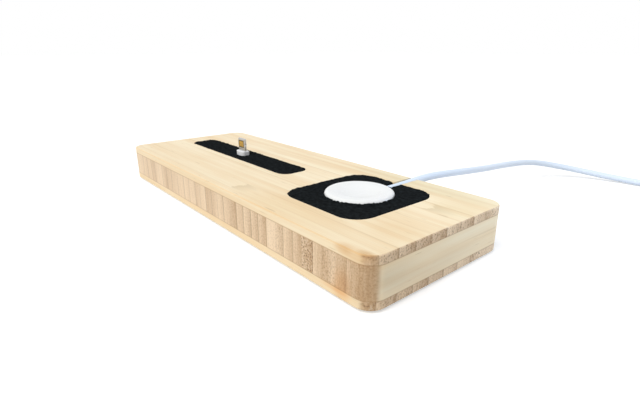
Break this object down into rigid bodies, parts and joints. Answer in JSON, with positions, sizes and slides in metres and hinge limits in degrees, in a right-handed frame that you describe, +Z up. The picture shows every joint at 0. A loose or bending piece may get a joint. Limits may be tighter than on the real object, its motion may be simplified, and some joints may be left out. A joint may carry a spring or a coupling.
{
  "type": "charging dock",
  "caption": "Slim bamboo desk charging dock with a felt-lined phone slot and upright plug, and a round watch charging puck in a felt square, its cord led out through a groove at the back.",
  "frame": {"origin": "on the table under the middle of the board", "axes": "+X along the board towards the watch seat, +Y to the back, where the cord leaves, +Z up"},
  "size_m": [0.2732, 0.2113, 0.0276],
  "materials": {
    "bamboo": "sanded, clear satin oil",
    "felt": "pressed wool felt",
    "white_plastic": "moulded, satin to gloss",
    "cord_jacket": "smooth soft jacket",
    "steel": "fine brushed, nickel plated",
    "gold_contacts": "gold plated",
    "black_plastic": "moulded, fine texture",
    "rubber": "matt",
    "copper": "enamelled wire",
    "ferrite": "sintered, matt",
    "nickel": "nickel plated",
    "circuit_laminate": "solder mask"
  },
  "bodies": {
    "dock": {"top_ply": "bamboo", "core_ply": "bamboo", "bottom_ply": "bamboo", "rubber_feet": "rubber", "phone_felt_pad": "felt", "watch_felt_pad": "felt", "connector_housing": "white_plastic", "connector_tongue": "steel", "connector_inserts": "black_plastic", "connector_contacts": "gold_contacts", "connector_retainer": "black_plastic", "retainer_screws": "steel", "puck_cord": "cord_jacket", "cord_coil": "cord_jacket", "cord_tie": "black_plastic", "usb_plug_sleeve": "cord_jacket", "usb_plug_grip": "white_plastic", "usb_plug_shell": "steel", "usb_plug_insert": "black_plastic", "usb_plug_contacts": "gold_contacts"},
    "puck": {"puck_shell": "white_plastic", "puck_cover": "white_plastic", "puck_base": "white_plastic", "puck_coil": "copper", "puck_magnet": "nickel", "puck_ferrite": "ferrite", "puck_circuit_board": "circuit_laminate", "puck_chips": "black_plastic", "puck_collar": "cord_jacket"}
  },
  "joints": [
    {"name": "puck_lift", "type": "slide", "parent": "dock", "child": "puck", "axis": [0, 0, 1], "range_m": [0, 0.012], "deforming": ["puck_cord"]}
  ]
}
